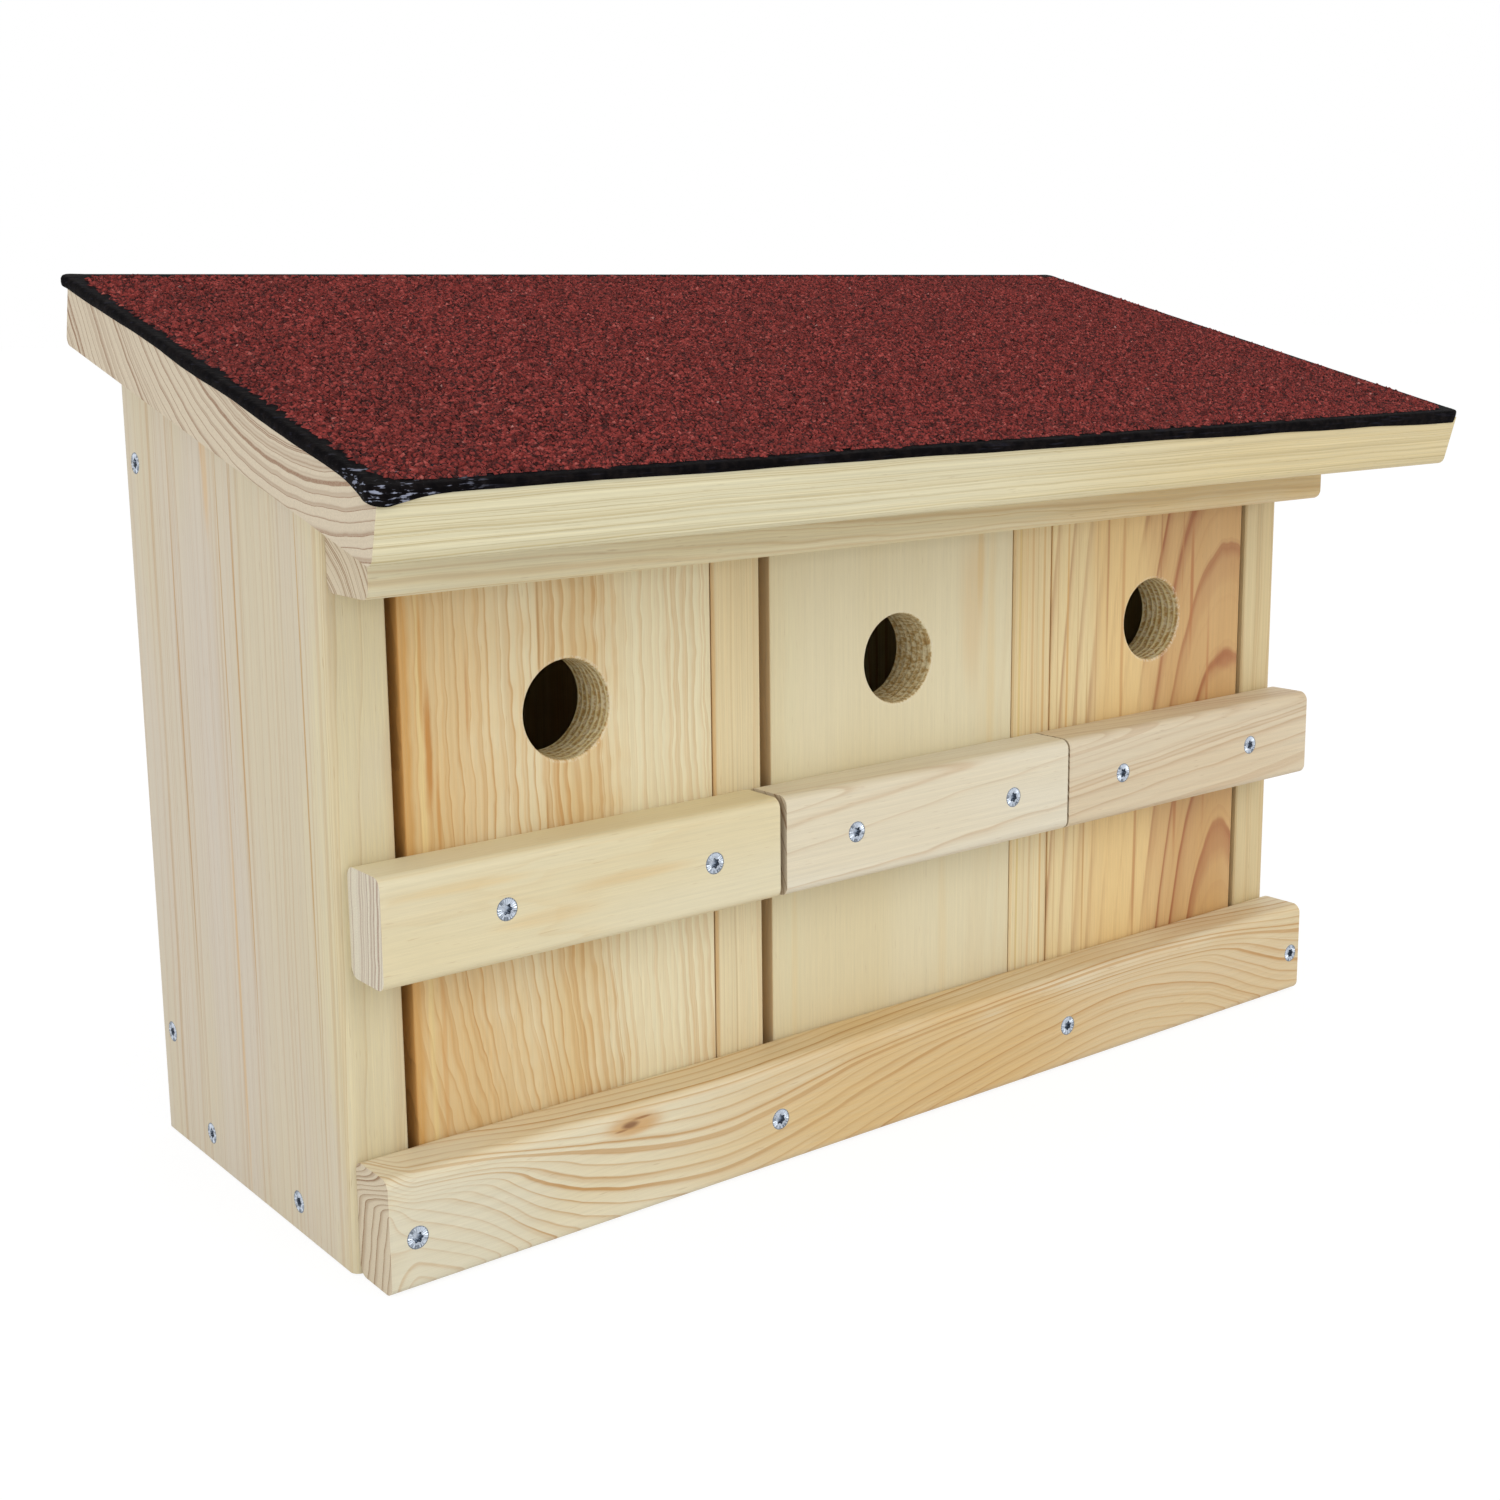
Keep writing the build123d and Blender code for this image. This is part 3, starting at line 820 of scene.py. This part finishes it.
crumbs = stone.node("TexNoise", None, {"Vector": spot, "Scale": 2600.0, "Detail": 2.0})
patches = stone.node("TexNoise", None, {"Vector": spot, "Scale": 28.0, "Detail": 3.0})
dust = stone.step(crumbs, 0.45, 0.7) * 0.25
stone_colour = stone.mixed(dust, stone_colour, (0.075, 0.012, 0.01, 1))
worn = stone.step(patches, 0.4, 0.8) * 0.3
stone_colour = stone.mixed(worn, stone_colour, (0.15, 0.03, 0.024, 1))
stone_colour = stone.mixed(chip_gap * 0.9, stone_colour, (0.018, 0.005, 0.005, 1))
stone.put("Base Color", stone_colour)
stone.put("Roughness", 0.8 + (crumbs - 0.5) * 0.2)
stone.put("Specular IOR Level", 0.15)
relief = {"Strength": 0.7, "Distance": 0.0006, "Height": crumbs * 0.3 - chips}
stone.put("Normal", stone.node("Bump", None, relief))
granules.data.materials.append(stone.material)
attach(granules, "box")


# Screws: zinc-plated steel, countersunk, with a ribbed ring and a six-pointed star for the
# driver. One is modelled head up and copied to every seat that shows, turned to face out of
# it. The two rows under the felt keep their plain shape.
zinc = Finish("zinc_screws")
spot = zinc.node("TexCoord", None, (), "Object")
rub = zinc.node("TexNoise", None, {"Vector": spot, "Scale": 1400.0, "Detail": 3.0})
glint = zinc.node("Attribute", {"attribute_name": "glint"}, (), "Fac")
# painted highlights and painted shade: each face's value runs from near black to pale zinc
zinc_colour = zinc.mixed(glint, (0.05, 0.065, 0.09, 1), (0.62, 0.68, 0.77, 1))
rubbed = zinc.step(rub, 0.35, 0.7) * 0.4
zinc.put("Base Color", zinc.mixed(rubbed, zinc_colour, (0.34, 0.38, 0.43, 1)))
zinc.put("Metallic", 1.0)
zinc.put("Roughness", 0.24 + rub * 0.2)
plain_zinc = Finish("hidden_zinc")
spot = plain_zinc.node("TexCoord", None, (), "Object")
rub = plain_zinc.node("TexNoise", None, {"Vector": spot, "Scale": 900.0})
dark_zinc, pale_zinc = (0.40, 0.44, 0.50, 1), (0.66, 0.70, 0.75, 1)
plain_zinc.put("Base Color", plain_zinc.mixed(rub, dark_zinc, pale_zinc))
plain_zinc.put("Metallic", 1.0)
plain_zinc.put("Roughness", 0.3)

head_radius = 3.7
rib_count = 48
star_edge = 2.2
rib_edge = 3.4
turned_length = 37.6
bpy.ops.object.select_all(action="DESELECT")
bpy.ops.mesh.primitive_circle_add(vertices=rib_count, radius=head_radius, fill_type="NGON")
screw = bpy.context.object
mesh = screw.data
bpy.ops.object.mode_set(mode="EDIT")
bpy.ops.mesh.select_all(action="SELECT")
for width in (0.4, 0.95, 0.75):
    bpy.ops.mesh.inset(thickness=width)
bpy.ops.mesh.extrude_region_move(TRANSFORM_OT_translate={"value": (0, 0, -1.5)})
bpy.ops.transform.resize(value=(0.78, 0.78, 1))


def nearest_reach(e):
    return min(mesh.vertices[i].co.xy.length for i in e.vertices)


selected_where(mesh, "edges", lambda e: nearest_reach(e) > head_radius - 0.02)
bpy.ops.mesh.extrude_region_move(TRANSFORM_OT_translate={"value": (0, 0, -0.3)})
bpy.ops.mesh.extrude_region_move(TRANSFORM_OT_translate={"value": (0, 0, -2.3)})
bpy.ops.transform.resize(value=(0.47, 0.47, 1))
bpy.ops.mesh.extrude_region_move(TRANSFORM_OT_translate={"value": (0, 0, -30)})
bpy.ops.mesh.extrude_region_move(TRANSFORM_OT_translate={"value": (0, 0, -5)})
bpy.ops.mesh.merge(type="CENTER")
bpy.ops.object.mode_set(mode="OBJECT")
for v in mesh.vertices:
    reach = v.co.xy.length
    turn_at = math.atan2(v.co.y, v.co.x)
    rib = round(turn_at / math.tau * rib_count) % 2
    if v.co.z > -1.6 and reach < star_edge:
        v.co.xy *= 1 + 0.17 * math.cos(6 * turn_at)
    elif v.co.z > -0.1 and reach < rib_edge:
        v.co.z += 0.06 - 0.2 * rib
    elif v.co.z > -0.1:
        v.co.z -= 0.12

# painted highlights and painted shade: each small face gets its own brightness, mostly dark
# down in the driver's star and round the rim, bright round the star's mouth and on some ribs
shade = mesh.attributes.new("glint", "FLOAT", "FACE")
chance = np.random.default_rng(3)
for face in mesh.polygons:
    reach = face.center.xy.length
    if face.center.z < -0.35 and reach < 2.3:
        value = chance.choice([0.05, 0.2, 0.35, 0.9], p=[0.25, 0.2, 0.25, 0.3])
    elif reach < 1.2 and face.center.z < -1.0:
        value = 0.6
    elif reach < 2.5:
        value = chance.uniform(0.6, 1.0)
    elif reach < 3.35 and face.center.z > -0.3:
        value = chance.choice([0.2, 0.5, 0.95, 1.0])
    else:
        value = chance.uniform(0.1, 0.35)
    shade.data[face.index].value = value
bpy.ops.object.mode_set(mode="EDIT")
bpy.ops.mesh.select_all(action="SELECT")
bpy.ops.mesh.normals_make_consistent(inside=False)
bpy.ops.object.mode_set(mode="OBJECT")
mesh.materials.append(zinc.material)

# the way each group of screws faces, and the part of the box that it moves with
outward = {
    "handle_screws_left": ((0, -1, 0), "cover_left"),
    "handle_screws_middle": ((0, -1, 0), "cover_middle"),
    "handle_screws_right": ((0, -1, 0), "cover_right"),
    "lower_batten_screws": ((0, -1, 0), "box"),
    "left_wall_back_screws": ((-1, 0, 0), "box"),
    "left_wall_floor_screws": ((-1, 0, 0), "box"),
    "right_wall_back_screws": ((1, 0, 0), "box"),
    "right_wall_floor_screws": ((1, 0, 0), "box"),
    "back_partition_screws": ((0, 1, 0), "box"),
    "floor_partition_screws": ((0, 0, -1), "box"),
}

# each seat's middle comes from the corners of the plain screw that lies in it, and the copy's
# shank is drawn out or in to that screw's length
one_seat = 0.008
shank_middle = -20
for node, (axis, body) in outward.items():
    axis = Vector(axis)
    seats = []
    ends = [v.co.dot(axis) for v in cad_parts[node].data.vertices]
    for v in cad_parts[node].data.vertices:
        flat = v.co - axis * v.co.dot(axis)
        near = [seat for seat in seats if (seat[0] - flat).length < one_seat]
        if near:
            near[0].append(flat)
        else:
            seats.append([flat])
    copies = []
    for seat in seats:
        low = Vector(map(min, *seat))
        high = Vector(map(max, *seat))
        one = bpy.data.objects.new(node, screw.data.copy())
        bpy.context.scene.collection.objects.link(one)
        for v in one.data.vertices:
            if v.co.z < shank_middle:
                v.co.z += turned_length - (max(ends) - min(ends)) * 1000
        turn = axis.to_track_quat("Z", "Y").to_matrix().to_4x4()
        turn = turn @ Matrix.Rotation(len(copies) * 0.7, 4, "Z")
        seated = Matrix.Translation((low + high) / 2 + axis * max(ends))
        one.data.transform(seated @ turn @ Matrix.Scale(0.001, 4))
        copies.append(one)
    bpy.ops.object.select_all(action="DESELECT")
    for one in copies:
        one.select_set(True)
    bpy.context.view_layer.objects.active = copies[0]
    bpy.ops.object.join()
    copies[0].name = node + "_zinc"
    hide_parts(node)
    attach(copies[0], body)
bpy.data.objects.remove(screw)
for node in ("roof_post_screws", "roof_batten_screws"):
    finish_node(node, plain_zinc.material)
